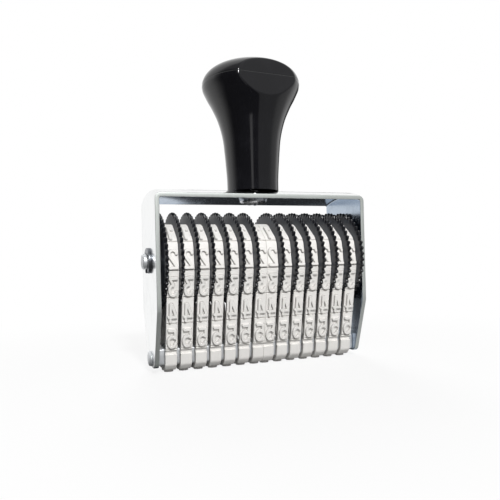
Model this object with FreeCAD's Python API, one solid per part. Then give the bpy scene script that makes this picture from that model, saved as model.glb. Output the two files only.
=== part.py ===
import FreeCAD, Part
import math
import os

# Numbering hand stamp with fourteen endless rubber bands, in millimetres.
# X runs along the axle, -Y is the front that the user reads, +Z is up.
# The origin is the middle of the print face, at the level of the paper.
# Every wheel turns on the one axle and carries its band round the print bar.

# Layout along the axle: each wheel and its band fill one cell
band_count = 14
band_pitch = 3.75
disc_thickness = 0.80
side_clearance = 0.05
end_play = 0.65

# Bands
belt_thickness = 0.65
pad_height = 0.60
pad_notch = 0.40
character_height = 0.45
character_size = 5.00
seat_gap = 0.05
heel_drop = 0.80

# Number wheels
tooth_count = 48
disc_radius = 12.20
tooth_depth = 0.75
drum_sides = 8
drum_flat_radius = 7.70
drum_tilt_deg = 7.7
wheel_fit = 0.06
bore_sides = 16

# Print bar with a peened pin at each end
bar_depth = 7.00
bar_height = 4.10
bar_chamfer = 0.80
rivet_height = 1.50
rivet_radius = 1.20
rivet_head_radius = 1.85
rivet_head_height = 1.00
rivet_head_bevel = 0.60

# Sheet-steel yoke
sheet = 1.10
yoke_depth = 18.90
finger_gap = 4.00
arch_rise = 1.60
bend_radius = 1.50
foot_drop = 0.35
taper_height = 14.25
foot_depth = 9.20
foot_corner_radius = 1.20

# Axle and its spring clips
axle_height = 25.40
axle_radius = 1.90
axle_overhang = 1.70
hole_fit = 0.10
clip_thickness = 0.60
clip_radius = 3.40
clip_groove_radius = 1.45
clip_fit = 0.05
clip_mouth = 2.40

# Moulded handle
neck_radius = 6.75
rim_radius = 12.90
rim_height = 27.55
dome_height = 6.60
handle_sides = 36
front_flat_distance = 10.20
front_flat_turn_deg = 4.0
front_flat_lean_deg = 6.0

# Handle screw and the washer under its head
screw_radius = 1.95
screw_fit = 0.05
screw_head_radius = 3.60
screw_head_height = 1.60
screw_head_bevel = 1.10
screw_grip = 12.00
recess_length = 4.20
recess_width = 0.90
recess_depth = 1.10
washer_radius = 3.80
washer_thickness = 0.70

# One overrun serves every cut
overrun = 5.00

# Handle profile: shares of the rim's height and of the flare, then of the dome and of the rim's radius
flare_shares = ((0.0, 0.0), (0.26, 0.05), (0.51, 0.16), (0.69, 0.36), (0.81, 0.61), (0.92, 0.87), (1.0, 1.0))
dome_shares = ((0.28, 0.977), (0.54, 0.888), (0.78, 0.70), (0.94, 0.42), (1.0, 0.0))

# Widths, heights and radii worked out from the sizes above
cells_per_side = band_count // 2
stack_width = band_count * band_pitch
band_width = band_pitch - disc_thickness - 2 * side_clearance
yoke_inner_width = stack_width + 2 * end_play
yoke_width = yoke_inner_width + 2 * sheet
belt_surface = seat_gap + belt_thickness
pad_surface = belt_surface + pad_height
bar_z = pad_surface + character_height
bar_top_z = bar_z + bar_height
rivet_z = bar_z + rivet_height
axle_z = bar_z + axle_height
foot_z = bar_z - foot_drop
taper_z = foot_z + taper_height
cheek_top_z = axle_z + disc_radius + finger_gap
crest_z = cheek_top_z + arch_rise
rim_z = crest_z + rim_height
arch_radius = ((yoke_depth / 2) ** 2 + arch_rise ** 2) / (2 * arch_rise)
arch_centre_z = crest_z - arch_radius
face_turn = 360 / drum_sides
pad_pitch = 2 * drum_flat_radius * math.tan(math.radians(face_turn / 2))


def point(y, z):
    return FreeCAD.Vector(0, y, z)


def arch_height(radius, y):
    """Height of a surface of the arched top at one depth."""
    return arch_centre_z + math.sqrt(radius ** 2 - y ** 2)


def prism(points, width, x_start=0):
    """Straight solid of a YZ outline along X."""
    wire = Part.makePolygon(points + [points[0]])
    solid = Part.Face(wire).extrude(FreeCAD.Vector(width, 0, 0))
    solid.translate(FreeCAD.Vector(x_start, 0, 0))
    return solid


def rod(radius, x_start, length, z):
    """Round solid along X in the middle plane."""
    return Part.makeCylinder(radius, length, FreeCAD.Vector(x_start, 0, z), FreeCAD.Vector(1, 0, 0))


def upright(radius, z_start, height):
    """Round solid along Z on the handle's axis."""
    return Part.makeCylinder(radius, height, FreeCAD.Vector(0, 0, z_start))


def centred_box(x_size, y_size, z_start, z_end):
    corner = FreeCAD.Vector(-x_size / 2, -y_size / 2, z_start)
    return Part.makeBox(x_size, y_size, z_end - z_start, corner)


def mirrored(shape):
    """The same shape on the other side of the middle plane."""
    return shape.mirror(FreeCAD.Vector(0, 0, 0), FreeCAD.Vector(1, 0, 0))


def polar(radius, angle_deg):
    """Place round the axle, with the angle rising from the front."""
    angle = math.radians(angle_deg)
    return point(-radius * math.cos(angle), axle_z + radius * math.sin(angle))


def flats_round_axle(flat_radius, sides, tilt_deg):
    """Corners of a regular outline round the axle, with one flat tilted up from the front."""
    turn = 360 / sides
    corner_radius = flat_radius / math.cos(math.radians(turn / 2))
    return [polar(corner_radius, tilt_deg + (side + 0.5) * turn) for side in range(sides)]


def drum_corners():
    return flats_round_axle(drum_flat_radius, drum_sides, drum_tilt_deg)


def bar_corners():
    """Corners of the print bar's section, chamfered where the bands turn under it."""
    half = bar_depth / 2
    return [
        point(-half + bar_chamfer, bar_z),
        point(half - bar_chamfer, bar_z),
        point(half, bar_z + bar_chamfer),
        point(half, bar_top_z),
        point(-half, bar_top_z),
        point(-half, bar_z + bar_chamfer),
    ]


def bend(a, b, c):
    """Positive where the path a, b, c bends to the left."""
    return (b.y - a.y) * (c.z - a.z) - (b.z - a.z) * (c.y - a.y)


def half_hull(ordered):
    chain = []
    for place in ordered:
        while len(chain) > 1 and bend(chain[-2], chain[-1], place) <= 0:
            chain.pop()
        chain.append(place)
    return chain[:-1]


def hull(points):
    """Tight loop round all the points, like the band round drum and bar."""
    ordered = sorted(points, key=lambda place: (place.y, place.z))
    return half_hull(ordered) + half_hull(ordered[::-1])


def outward(start, end):
    """Unit normal that points out of the loop, for an edge of the hull."""
    run = (end - start).normalize()
    return point(run.z, -run.y)


def grown(loop, distance):
    """The loop moved outwards by one distance, with mitred corners."""
    moved = []
    for index, corner in enumerate(loop):
        before = outward(loop[index - 1], corner)
        after = outward(corner, loop[(index + 1) % len(loop)])
        moved.append(corner + (before + after) * (distance / (1 + before.dot(after))))
    return moved


def pad(foot_start, foot_end, crown_start, crown_end):
    """Raised pad on the belt, with a narrow notch between it and each neighbour."""
    setback = (crown_end - crown_start).normalize() * (pad_notch / 2)
    return prism([foot_start, foot_end, crown_end - setback, crown_start + setback], band_width)


def run_pads(top, bottom, foot_top, crown_top, lift):
    """Whole pads down a straight run, from the drum towards the bar."""
    run = (bottom - top).normalize()
    feet = [foot_top]
    crowns = [crown_top]
    for step in range(int((bottom - top).Length // pad_pitch)):
        place = top + run * ((step + 1) * pad_pitch)
        feet.append(place + lift * belt_surface)
        crowns.append(place + lift * pad_surface)
    return [pad(*feet[step : step + 2], *crowns[step : step + 2]) for step in range(len(feet) - 1)]


def pads_on(loop):
    """One pad on each drum flat that the band touches, and whole pads down both runs."""
    drum = drum_corners()
    feet = grown(loop, belt_surface)
    crowns = grown(loop, pad_surface)
    pads = []
    for index, start in enumerate(loop):
        after = (index + 1) % len(loop)
        end = loop[after]
        lift = outward(start, end)
        if start in drum and end in drum:
            pads.append(pad(feet[index], feet[after], crowns[index], crowns[after]))
        elif start in drum:
            pads += run_pads(start, end, feet[index], crowns[index], lift)
        elif end in drum:
            pads += run_pads(end, start, feet[after], crowns[after], lift)
    return pads


def number_band():
    """Endless rubber band: thin belt, pads, heel round the bar and the block that prints."""
    loop = hull(drum_corners() + bar_corners())
    belt = prism(grown(loop, belt_surface), band_width)
    heel = prism(grown(loop, pad_surface), band_width)
    below = centred_box(2 * band_width, bar_depth + 2 * overrun, 0, bar_top_z - heel_drop)
    block = centred_box(band_width, character_size, 0, bar_z)
    block.translate(FreeCAD.Vector(band_width / 2, 0, 0))
    band = belt.multiFuse([heel.common(below), block] + pads_on(loop))
    inside = prism(grown(loop, seat_gap), band_width)
    band = band.cut(inside).removeSplitter()
    band.translate(FreeCAD.Vector(disc_thickness + 1.5 * side_clearance, 0, 0))
    return band


def number_wheel():
    """Toothed thumb disc and the drum that drives the band, one moulding with flats in its bore."""
    pitch_angle = 360 / tooth_count
    rim = []
    for tooth in range(tooth_count):
        rim.append(polar(disc_radius, tooth * pitch_angle))
        rim.append(polar(disc_radius - tooth_depth, (tooth + 0.5) * pitch_angle))
    disc_start = side_clearance / 2
    drum_start = disc_start + disc_thickness
    disc = prism(rim, disc_thickness, disc_start)
    drum = prism(drum_corners(), band_pitch - side_clearance / 2 - drum_start, drum_start)
    bore_outline = flats_round_axle(axle_radius + wheel_fit, bore_sides, 0)
    return disc.fuse(drum).cut(prism(bore_outline, band_pitch)).removeSplitter()


def print_bar():
    """Steel bar that the bands run round, riveted to both cheeks by its peened ends."""
    bar = prism(bar_corners(), yoke_inner_width, -yoke_inner_width / 2)
    face = yoke_width / 2
    straight = rivet_head_height - rivet_head_bevel
    bevel = Part.makeCone(
        rivet_head_radius,
        rivet_head_radius - rivet_head_bevel,
        rivet_head_bevel,
        FreeCAD.Vector(face + straight, 0, rivet_z),
        FreeCAD.Vector(1, 0, 0),
    )
    head = rod(rivet_head_radius, face, straight, rivet_z).fuse(bevel)
    pins = rod(rivet_radius, -face, yoke_width, rivet_z)
    return bar.fuse([pins, head, mirrored(head)]).removeSplitter()


def yoke_section(depth, height, radius):
    """Side outline of the yoke as a face: tapered cheek under an arched top."""
    half = depth / 2
    foot = foot_depth / 2
    shoulder_z = arch_height(radius, half)
    corners = [
        point(half, shoulder_z),
        point(half, taper_z),
        point(foot, height),
        point(-foot, height),
        point(-half, taper_z),
        point(-half, shoulder_z),
    ]
    crest = point(0, arch_height(radius, 0))
    arch = Part.Arc(corners[-1], crest, corners[0]).toShape()
    return Part.Face(Part.Wire([arch] + Part.makePolygon(corners).Edges))


def bent_outline(width, corner_radius, top_z):
    """Room inside a strip bent down at both ends, seen from the front."""
    room = centred_box(width, yoke_depth + 2 * overrun, -overrun, top_z)
    bends = [edge for edge in room.Edges if is_top_bend(edge, top_z)]
    return room.makeFillet(corner_radius, bends)


def is_top_bend(edge, top_z):
    box = edge.BoundBox
    return box.ZMin > top_z - sheet and box.YLength > yoke_depth


def is_foot_edge(edge):
    box = edge.BoundBox
    return box.ZMax < foot_z + sheet and box.XLength > yoke_inner_width


def frame_yoke():
    """One strip of sheet bent into a yoke: outside block less the room one sheet inside it."""
    side = yoke_section(yoke_depth, foot_z, arch_radius)
    block = side.extrude(FreeCAD.Vector(yoke_width, 0, 0))
    block.translate(FreeCAD.Vector(-yoke_width / 2, 0, 0))
    block = block.makeFillet(foot_corner_radius, [edge for edge in block.Edges if is_foot_edge(edge)])
    block = block.common(bent_outline(yoke_width, bend_radius, crest_z))
    arch_room = rod(arch_radius - sheet, -yoke_width, 2 * yoke_width, arch_centre_z)
    low_room = centred_box(2 * yoke_width, 2 * yoke_depth, -overrun, arch_centre_z)
    room = bent_outline(yoke_inner_width, bend_radius - sheet, crest_z - sheet)
    room = room.common(arch_room.fuse(low_room))
    axle_hole = rod(axle_radius + hole_fit, -yoke_width, 2 * yoke_width, axle_z)
    rivet_hole = rod(rivet_radius + hole_fit, -yoke_width, 2 * yoke_width, rivet_z)
    screw_hole = upright(screw_radius + hole_fit, crest_z - overrun, 2 * overrun)
    return block.cut(room.fuse([axle_hole, rivet_hole, screw_hole]))


def axle():
    """Rod through both cheeks with a groove outside each cheek for its clip."""
    half = yoke_width / 2 + axle_overhang
    shaft = rod(axle_radius, -half, 2 * half, axle_z)
    groove = rod(axle_radius + overrun, yoke_width / 2, clip_thickness + clip_fit, axle_z)
    groove = groove.cut(rod(clip_groove_radius, 0, half, axle_z))
    return shaft.cut(groove.fuse(mirrored(groove)))


def axle_clip():
    """Open spring clip seated in the right-hand groove, mouth down."""
    face = yoke_width / 2
    clip = rod(clip_radius, face, clip_thickness, axle_z)
    throat = rod(clip_groove_radius + clip_fit, face, clip_thickness, axle_z)
    mouth = centred_box(clip_thickness, clip_mouth, axle_z - clip_radius, axle_z)
    mouth.translate(FreeCAD.Vector(face + clip_thickness / 2, 0, 0))
    return clip.cut(throat.fuse(mouth))


def handle_profile():
    """Outer line of the handle from the foot of the neck, over the rim, to the top."""
    outline = []
    for height_share, flare_share in flare_shares:
        radius = neck_radius + flare_share * (rim_radius - neck_radius)
        outline.append(FreeCAD.Vector(radius, 0, crest_z + height_share * rim_height))
    for height_share, radius_share in dome_shares:
        outline.append(FreeCAD.Vector(radius_share * rim_radius, 0, rim_z + height_share * dome_height))
    return outline


def turned(profile, sides):
    """Closed solid of a profile turned about Z in equal flat steps; the last place lies on the axis."""
    turn = FreeCAD.Rotation(FreeCAD.Vector(0, 0, 1), 360 / sides)
    rings = [[place] for place in profile[:-1]]
    for ring in rings:
        for side in range(sides):
            ring.append(turn.multVec(ring[-1]))
    faces = []
    for lower, upper in zip(rings, rings[1:]):
        for side in range(sides):
            quad = [lower[side], lower[side + 1], upper[side + 1], upper[side], lower[side]]
            faces.append(Part.Face(Part.makePolygon(quad)))
    for side in range(sides):
        wedge = [rings[-1][side], rings[-1][side + 1], profile[-1], rings[-1][side]]
        faces.append(Part.Face(Part.makePolygon(wedge)))
    faces.append(Part.Face(Part.makePolygon(rings[0])))
    return Part.makeSolid(Part.makeShell(faces))


def front_flat():
    """Block that cuts the oval flat into the rim, which marks the front of the stamp."""
    block = Part.makeBox(
        4 * rim_radius,
        rim_radius,
        4 * rim_radius,
        FreeCAD.Vector(-2 * rim_radius, -front_flat_distance - rim_radius, -2 * rim_radius),
    )
    block.rotate(FreeCAD.Vector(0, 0, 0), FreeCAD.Vector(1, 0, 0), -front_flat_lean_deg)
    block.rotate(FreeCAD.Vector(0, 0, 0), FreeCAD.Vector(0, 0, 1), front_flat_turn_deg)
    block.translate(FreeCAD.Vector(0, 0, rim_z))
    return block


def handle_knob():
    """Moulded handle: slim neck, flared rim with a front flat, low dome, and a bore for the screw."""
    knob = turned(handle_profile(), handle_sides)
    bore = upright(screw_radius + screw_fit, crest_z, screw_grip + screw_fit)
    return knob.cut(front_flat().fuse(bore))


def washer_top():
    """Where a flat washer meets the hollow underside of the arch."""
    return arch_height(arch_radius - sheet, washer_radius)


def lock_washer():
    top = washer_top()
    ring = upright(washer_radius, top - washer_thickness, washer_thickness)
    return ring.cut(upright(screw_radius + hole_fit, top - washer_thickness, washer_thickness))


def handle_screw():
    """Screw driven up through the yoke, with a crossed recess in its low head."""
    seat = washer_top() - washer_thickness
    low = seat - screw_head_height
    bevel_top = low + screw_head_bevel
    head = upright(screw_head_radius, bevel_top, seat - bevel_top)
    bevel = Part.makeCone(
        screw_head_radius - screw_head_bevel,
        screw_head_radius,
        screw_head_bevel,
        FreeCAD.Vector(0, 0, low),
    )
    shank = upright(screw_radius, seat, crest_z + screw_grip - seat)
    slot = centred_box(recess_length, recess_width, low, low + recess_depth)
    crossing = centred_box(recess_width, recess_length, low, low + recess_depth)
    screw = head.fuse([bevel, shank])
    return screw.cut(slot.fuse(crossing)).removeSplitter()


def placed(cell_shape, index):
    """A cell's shape at its place; discs face the nearer cheek on both halves."""
    if index < cells_per_side:
        shape = cell_shape.copy()
        cell_edge = index * band_pitch
    else:
        shape = mirrored(cell_shape)
        cell_edge = (index + 1) * band_pitch
    shape.translate(FreeCAD.Vector(cell_edge - stack_width / 2, 0, 0))
    return shape


def all_pieces():
    clip = axle_clip()
    pieces = {
        "handle_knob": handle_knob(),
        "handle_screw": handle_screw(),
        "lock_washer": lock_washer(),
        "frame_yoke": frame_yoke(),
        "print_bar": print_bar(),
        "axle": axle(),
        "axle_clip_left": mirrored(clip),
        "axle_clip_right": clip,
    }
    wheel = number_wheel()
    band = number_band()
    for index in range(band_count):
        pieces[f"number_wheel_{index + 1:02d}"] = placed(wheel, index)
        pieces[f"number_band_{index + 1:02d}"] = placed(band, index)
    return pieces


os.makedirs("parts", exist_ok=True)
for node, solid in all_pieces().items():
    solid.exportStep(f"parts/{node}.step")
    print(node, len(solid.Solids), solid.isValid(), round(solid.Volume, 2))
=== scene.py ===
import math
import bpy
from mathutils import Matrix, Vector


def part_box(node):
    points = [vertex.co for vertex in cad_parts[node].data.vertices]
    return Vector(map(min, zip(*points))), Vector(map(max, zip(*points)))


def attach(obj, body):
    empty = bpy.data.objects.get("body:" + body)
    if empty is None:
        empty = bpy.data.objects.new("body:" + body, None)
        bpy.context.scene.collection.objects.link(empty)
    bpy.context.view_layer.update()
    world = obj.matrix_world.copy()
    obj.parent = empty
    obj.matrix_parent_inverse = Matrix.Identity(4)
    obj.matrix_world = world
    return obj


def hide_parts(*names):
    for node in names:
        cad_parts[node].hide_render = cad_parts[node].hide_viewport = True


bl_info = {
    "name": "Numbering Hand Stamp",
    "version": (1, 0, 0),
    "blender": (4, 5, 0),
    "location": "3D View > Sidebar > Hand Stamp",
    "description": "Dresses the packed frame of a fourteen-band numbering hand stamp",
    "category": "Object",
}

from functools import partialmethod

import bmesh
import bpy
import numpy as np
from mathutils import Matrix, Vector

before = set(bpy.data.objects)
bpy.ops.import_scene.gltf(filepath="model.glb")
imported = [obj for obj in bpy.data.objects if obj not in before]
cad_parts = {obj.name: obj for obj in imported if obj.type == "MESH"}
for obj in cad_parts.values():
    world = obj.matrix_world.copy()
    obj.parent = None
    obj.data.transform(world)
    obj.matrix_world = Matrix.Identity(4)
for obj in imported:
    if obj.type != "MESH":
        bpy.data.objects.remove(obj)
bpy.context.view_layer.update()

# Places that the frame gives, in metres, and heights measured from them; the front of the stamp faces -Y
MM = 0.001
BANDS = 14
WELD = 1e-7
TURN = 2 * math.pi
DEGREES = 180 / math.pi
MIRROR = (-1, 1, 1)
KNOB_LOW, KNOB_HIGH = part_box("handle_knob")
YOKE_LOW, YOKE_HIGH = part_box("frame_yoke")
BAR_LOW, BAR_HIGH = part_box("print_bar")
AXLE_LOW, AXLE_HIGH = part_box("axle")
CLIP_LOW, CLIP_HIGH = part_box("axle_clip_right")
SCREW_LOW, SCREW_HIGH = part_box("handle_screw")
WASHER_LOW, WASHER_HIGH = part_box("lock_washer")
WHEEL_LOW, WHEEL_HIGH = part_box("number_wheel_01")
WHEEL_BORE = AXLE_HIGH.y + 0.06 * MM
BAND_LOW, BAND_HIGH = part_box("number_band_01")
BAND_WIDTH = BAND_HIGH.x - BAND_LOW.x
AXLE_Z = (AXLE_LOW.z + AXLE_HIGH.z) / 2
RIM_RADIUS = KNOB_HIGH.x
RIM_Z = KNOB_HIGH.z - 6.60 * MM
MOULD_LINE_Z = RIM_Z + 0.90 * MM
BAR_BOTTOM = BAR_HIGH.z - 4.10 * MM
BAR_CHAMFER = 0.80 * MM
RIVET_RADIUS = 1.85 * MM
HEEL_Z = BAR_HIGH.z - 1.00 * MM
RECESS_Z = BAR_HIGH.z + 0.10 * MM

# Camera, fitted to the edges of the yoke, the gaps between bands and the tips of the wheels
CAMERA_LENS, CAMERA_SENSOR = 39.49, 36.0
CAMERA_PLACE = (-51.868 * MM, -135.864 * MM, 28.017 * MM)
# Turn to the right of +Y, rise and roll, in degrees
CAMERA_TURN = (20.44, 0.60, -1.373)

# Strength of the world on matt faces, and half the floor's width
MATT_LIGHT, FLOOR_HALF = 0.10, 0.15
# Lamps: name, turn from the front and rise in degrees, distance, width, power and whether they show in gloss
STAMP_MIDDLE = (0, 0, 0.035)
LAMPS = (
    ("key_lamp", -4, 35, 0.50, 0.06, 2.25, True),
    ("front_fill", -14, 2, 0.70, 0.40, 0.85, False),
    ("back_fill", 172, 30, 0.60, 0.30, 2.6, False),
)


def length(name, default, description):
    """A setting in metres."""
    return bpy.props.FloatProperty(
        name=name, default=default, min=0, precision=5, unit="LENGTH", description=description
    )


def tilt(name, degrees, description):
    """A setting that is an angle, given in degrees."""
    return bpy.props.FloatProperty(
        name=name, default=math.radians(degrees), subtype="ANGLE", unit="ROTATION", description=description
    )


def colour(name, default, description):
    """A setting that is a colour."""
    return bpy.props.FloatVectorProperty(
        name=name, default=default, size=3, min=0, max=1, subtype="COLOR", description=description
    )


class KnobSettings(bpy.types.PropertyGroup):
    """Sizes and colour of the moulded knob"""

    mould_line_depth: length("Mould line depth", 0.05 * MM, "Depth of the fine groove over the widest ring")
    flat_distance: length("Front flat distance", 10.20 * MM, "Distance of the front flat from the knob's axis")
    flat_turn: tilt("Front flat turn", 4, "Turn of the flat from the front")
    flat_lean: tilt("Front flat lean", 6, "Lean of the flat off upright")
    flat_rounding: length("Front flat rounding", 0.16 * MM, "Softness of the edge round the front flat")
    body_colour: colour("Knob colour", (0.006, 0.006, 0.0075), "Black of the moulded knob")


class YokeSettings(bpy.types.PropertyGroup):
    """Sizes and colours of the sheet-steel yoke"""

    sheet: length("Sheet", 1.10 * MM, "Thickness of the bent sheet steel")
    arch_rise: length("Arch rise", 1.60 * MM, "Rise of the top's middle over its long edges")
    bend_radius: length("Bend radius", 1.50 * MM, "Outside radius of both bends")
    taper_height: length("Taper height", 14.25 * MM, "Height over the feet where the cheeks start to narrow")
    foot_depth: length("Foot depth", 9.20 * MM, "Depth of each cheek at its foot")
    foot_corner: length("Foot corner", 1.20 * MM, "Radius of the corners of each foot")
    edge_radius: length("Edge radius", 0.16 * MM, "Rounding of the sheet's edges")
    plate_colour: colour("Plate colour", (0.88, 0.89, 0.89), "Colour of the bright plate")
    # Colour inside the yoke and on faces turned down: a duller plate, darkened and tinted blue by painted shade
    inside_shade_colour: colour("Inside colour", (0.46, 0.53, 0.62), "Colour of the duller plate inside the yoke")
    edge_colour: colour("Edge colour", (0.56, 0.59, 0.57), "Colour of the sheared edges")


class BandSettings(bpy.types.PropertyGroup):
    """Sizes and colour of the rubber bands and their digits"""

    belt: length("Belt", 0.65 * MM, "Thickness of the belt under the pads")
    pad: length("Pad", 0.50 * MM, "Height of the pads on the belt")
    relief: length("Relief", 0.55 * MM, "Height of the digits on the pads")
    digit_height: length("Digit height", 4.80 * MM, "Height of a digit")
    digit_width: length("Digit width", 2.45 * MM, "Width of a digit")
    stroke: length("Stroke", 0.66 * MM, "Width of a digit's stroke")
    seat: length("Seat", 0.05 * MM, "Air between the band and what it runs on")
    digit_margin: length("Digit margin", 0.25 * MM, "Room between a digit's feet and the end of its pad")
    notch: length("Notch", 0.30 * MM, "Width of the notch between two pads")
    # Width of the painted shade, a grey colour that stands in for the shadow round each digit's foot
    painted_shade: length("Crease", 0.25 * MM, "Width of the grey dust that lies round each digit's foot")
    edge_radius: length("Edge radius", 0.14 * MM, "Rounding of the band's outer edges")
    fineness: length("Fineness", 0.075 * MM, "Step between the points that shape the digits")
    rubber_colour: colour("Rubber colour", (0.84, 0.822, 0.792), "Off-white of the moulded rubber")


class WheelSettings(bpy.types.PropertyGroup):
    """Sizes and colours of the thumb wheels"""

    teeth: bpy.props.IntProperty(name="Teeth", default=48, min=12, description="Teeth round each thumb disc")
    tooth_depth: length("Tooth depth", 0.85 * MM, "Depth of the rounded teeth")
    disc: length("Disc", 0.80 * MM, "Thickness of the thumb disc")
    drum_flat: length("Drum flat", 7.70 * MM, "Distance of the drum's flats from the axle")
    drum_tilt: tilt("Drum tilt", 7.7, "Tilt of the drum's front flat off upright")
    wheel_colour: colour("Wheel colour", (0.006, 0.0065, 0.009), "Charcoal of the moulded wheels")
    # Tone of the disc faces, made paler and bluish by a painted sheen
    face_colour_and_sheen: colour("Face colour", (0.045, 0.050, 0.062), "Paler charcoal of the flat faces of the discs")


# Surfaces, which are rows of points, and the pieces made from them


def quads_of(points, ring):
    """Quads between neighbours in rows of points. Each row closes on itself; in a ring the last row meets the first."""
    rows, columns = points.shape[:2]
    index = np.arange(rows * columns).reshape(rows, columns)
    if ring:
        index = np.concatenate([index, index[:1]])
    index = np.concatenate([index, index[:, :1]], axis=1)
    corners = [index[:-1, :-1], index[1:, :-1], index[1:, 1:], index[:-1, 1:]]
    return np.stack(corners, axis=-1).reshape(-1, 4)


def capped(points):
    """A tube of rings closed at both ends: each end ring is drawn in to its own middle."""
    middles = points[[0, -1]].mean(axis=1, keepdims=True)
    first, last = (np.repeat(m[None], points.shape[1], axis=1) for m in middles)
    return np.concatenate([first, points, last])


def added(name, data):
    """A new object of the scene."""
    made = bpy.data.objects.new(name, data)
    bpy.context.scene.collection.objects.link(made)
    return made


def piece_of(name, surfaces, finish, node, body="stamp", sharp=35, ring=False, painted_shades=None):
    """A piece made of surfaces, each an array of rows of points, with its finish. Seams and poles are merged and
    every face is turned outwards; painted shade, one share for each point, is kept as an attribute of the mesh. The
    piece rides on its body and stands for its CAD node."""
    offsets = np.cumsum([0] + [points[..., 0].size for points in surfaces[:-1]])
    quads = np.concatenate([quads_of(points, ring) + offset for points, offset in zip(surfaces, offsets)])
    points = np.concatenate([points.reshape(-1, 3) for points in surfaces])
    mesh = bpy.data.meshes.new(name)
    mesh.from_pydata(points.tolist(), [], quads.tolist())
    if painted_shades is not None:
        mesh.attributes.new("painted_shade", "FLOAT", "POINT").data.foreach_set("value", painted_shades.ravel())
    shell = bmesh.new()
    shell.from_mesh(mesh)
    bmesh.ops.remove_doubles(shell, verts=shell.verts, dist=WELD)
    bmesh.ops.recalc_face_normals(shell, faces=shell.faces)
    shell.to_mesh(mesh)
    shell.free()
    mesh.shade_smooth()
    mesh.set_sharp_from_angle(angle=math.radians(sharp))
    mesh.materials.append(finish)
    piece = added(name, mesh)
    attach(piece, body)
    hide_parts(node)


def ease(share):
    """Smooth step: 3t^2 - 2t^3 of a share held between 0 and 1."""
    held = np.clip(share, 0, 1)
    return held * held * (3 - 2 * held)


def turned_z(radii, heights, sides=128):
    """Surface of revolution about Z: a ring of each radius at each height."""
    angle = np.arange(sides) * TURN / sides
    radii, heights = np.asarray(radii)[:, None], np.asarray(heights)[:, None]
    ring = [radii * np.sin(angle), -radii * np.cos(angle), heights + 0 * angle]
    return np.stack(ring, axis=-1)


def turned_x(radii, places, height, sides=64):
    """Surface about a line along X at one height: a ring of each radius, or of each row of radii, at each place."""
    radii, places = np.asarray(radii), np.asarray(places)[:, None]
    if radii.ndim == 1:
        radii = np.repeat(radii[:, None], sides, axis=1)
    angle = np.arange(radii.shape[1]) * TURN / radii.shape[1]
    ring = [places + 0 * angle, -radii * np.cos(angle), height + radii * np.sin(angle)]
    return np.stack(ring, axis=-1)


def rounded_corner(centre_a, centre_b, radius, start, end, steps=5):
    """Points of an arc round a centre, from one angle in degrees to another."""
    angle = np.radians(np.linspace(start, end, steps))
    return np.stack([centre_a + radius * np.cos(angle), centre_b + radius * np.sin(angle)], axis=-1)


def smooth_profile(stations, steps=10):
    """Curve through the stations: each span is a cubic whose end slopes are half the step between neighbours."""
    stations = np.asarray(stations, float)
    padded = np.concatenate([[2 * stations[0] - stations[1]], stations, [2 * stations[-1] - stations[-2]]])
    slopes = (padded[2:] - padded[:-2]) / 2
    t = np.linspace(0, 1, steps, endpoint=False)[:, None]
    weights = [2 * t**3 - 3 * t**2 + 1, t**3 - 2 * t**2 + t, 3 * t**2 - 2 * t**3, t**3 - t**2]
    values = [stations[:-1], slopes[:-1], stations[1:], slopes[1:]]
    spans = sum(w[None] * v[:, None] for w, v in zip(weights, values))
    return np.concatenate([spans.reshape(-1, stations.shape[1]), stations[-1:]])


# Shader nodes written as Python expressions


class Link:
    """A shader socket that takes part in sums: each operation, also one with a number on its left, adds a node."""

    def __init__(self, paint, socket):
        self.paint = paint
        self.socket = socket

    def math(self, operation, *others):
        """Adds a Math node of this socket and others."""
        return self.paint.node("ShaderNodeMath", {"operation": operation}, dict(enumerate((self, *others))))

    def math_after(self, operation, other):
        """Adds a Math node in which this socket comes second."""
        return self.paint.node("ShaderNodeMath", {"operation": operation}, {0: other, 1: self})

    __add__, __radd__ = partialmethod(math, "ADD"), partialmethod(math_after, "ADD")
    __sub__, __rsub__ = partialmethod(math, "SUBTRACT"), partialmethod(math_after, "SUBTRACT")
    __mul__, __rmul__ = partialmethod(math, "MULTIPLY"), partialmethod(math_after, "MULTIPLY")
    __neg__, __abs__ = partialmethod(math, "MULTIPLY", -1), partialmethod(math, "ABSOLUTE")
    __pow__ = partialmethod(math, "POWER")

    def between(self, low, high):
        """0 below low, 1 above high, and a smooth step from one to the other."""
        settings = {"interpolation_type": "SMOOTHSTEP"}
        return self.paint.node("ShaderNodeMapRange", settings, {0: self, 1: low, 2: high})


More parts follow.
